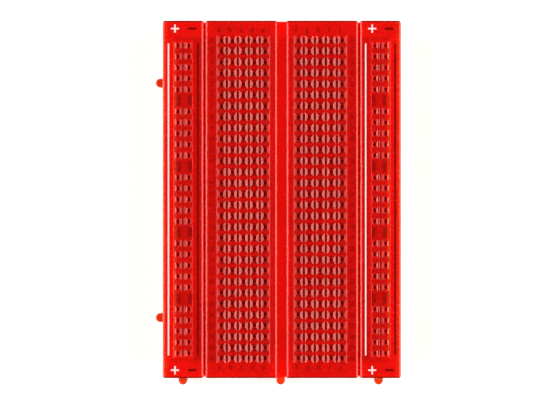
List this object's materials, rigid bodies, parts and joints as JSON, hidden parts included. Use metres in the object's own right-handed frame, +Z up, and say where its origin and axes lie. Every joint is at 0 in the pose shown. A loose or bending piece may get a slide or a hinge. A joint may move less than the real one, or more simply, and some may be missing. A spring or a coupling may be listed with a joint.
{
  "type": "solderless breadboard",
  "caption": "Translucent red solderless breadboard: a terminal block with a centre channel and a pull-off power rail on each side, over sprung contact clips and adhesive foam.",
  "frame": {"origin": "middle of the terminal block's release liner, on the surface that the board rests on", "axes": "+X across the columns from a to j, +Y along the board towards row 1, +Z up out of the contact holes"},
  "size_m": [0.0568, 0.0843, 0.0096],
  "materials": {
    "red_plastic": "translucent red ABS, smooth moulded, slightly glossy",
    "spring_metal": "bright nickel plating over phosphor bronze strip",
    "adhesive_foam": "off-white closed-cell foam with acrylic adhesive",
    "liner_paper": "waxed kraft release paper",
    "white_print": "opaque white pad-printed ink",
    "dark_print": "dark red-black printed ink seen on red plastic"
  },
  "bodies": {
    "block": {"terminal_block": "red_plastic", "centre_foam_pad": "adhesive_foam", "centre_release_liner": "liner_paper", "clip_row_01_a_e": "spring_metal", "clip_row_02_a_e": "spring_metal", "clip_row_03_a_e": "spring_metal", "clip_row_04_a_e": "spring_metal", "clip_row_05_a_e": "spring_metal", "clip_row_06_a_e": "spring_metal", "clip_row_07_a_e": "spring_metal", "clip_row_08_a_e": "spring_metal", "clip_row_09_a_e": "spring_metal", "clip_row_10_a_e": "spring_metal", "clip_row_11_a_e": "spring_metal", "clip_row_12_a_e": "spring_metal", "clip_row_13_a_e": "spring_metal", "clip_row_14_a_e": "spring_metal", "clip_row_15_a_e": "spring_metal", "clip_row_16_a_e": "spring_metal", "clip_row_17_a_e": "spring_metal", "clip_row_18_a_e": "spring_metal", "clip_row_19_a_e": "spring_metal", "clip_row_20_a_e": "spring_metal", "clip_row_21_a_e": "spring_metal", "clip_row_22_a_e": "spring_metal", "clip_row_23_a_e": "spring_metal", "clip_row_01_f_j": "spring_metal", "clip_row_02_f_j": "spring_metal", "clip_row_03_f_j": "spring_metal", "clip_row_04_f_j": "spring_metal", "clip_row_05_f_j": "spring_metal", "clip_row_06_f_j": "spring_metal", "clip_row_07_f_j": "spring_metal", "clip_row_08_f_j": "spring_metal", "clip_row_09_f_j": "spring_metal", "clip_row_10_f_j": "spring_metal", "clip_row_11_f_j": "spring_metal", "clip_row_12_f_j": "spring_metal", "clip_row_13_f_j": "spring_metal", "clip_row_14_f_j": "spring_metal", "clip_row_15_f_j": "spring_metal", "clip_row_16_f_j": "spring_metal", "clip_row_17_f_j": "spring_metal", "clip_row_18_f_j": "spring_metal", "clip_row_19_f_j": "spring_metal", "clip_row_20_f_j": "spring_metal", "clip_row_21_f_j": "spring_metal", "clip_row_22_f_j": "spring_metal", "clip_row_23_f_j": "spring_metal"},
    "left_rail": {"left_power_rail": "red_plastic", "left_foam_pad": "adhesive_foam", "left_release_liner": "liner_paper", "left_positive_bus_clip": "spring_metal", "left_negative_bus_clip": "spring_metal"},
    "right_rail": {"right_power_rail": "red_plastic", "right_foam_pad": "adhesive_foam", "right_release_liner": "liner_paper", "right_positive_bus_clip": "spring_metal", "right_negative_bus_clip": "spring_metal"}
  },
  "joints": [
    {"name": "left_rail_pull", "type": "slide", "parent": "block", "child": "left_rail", "axis": [-1, 0, 0], "range_m": [0, 0.01]},
    {"name": "right_rail_pull", "type": "slide", "parent": "block", "child": "right_rail", "axis": [1, 0, 0], "range_m": [0, 0.01]}
  ]
}
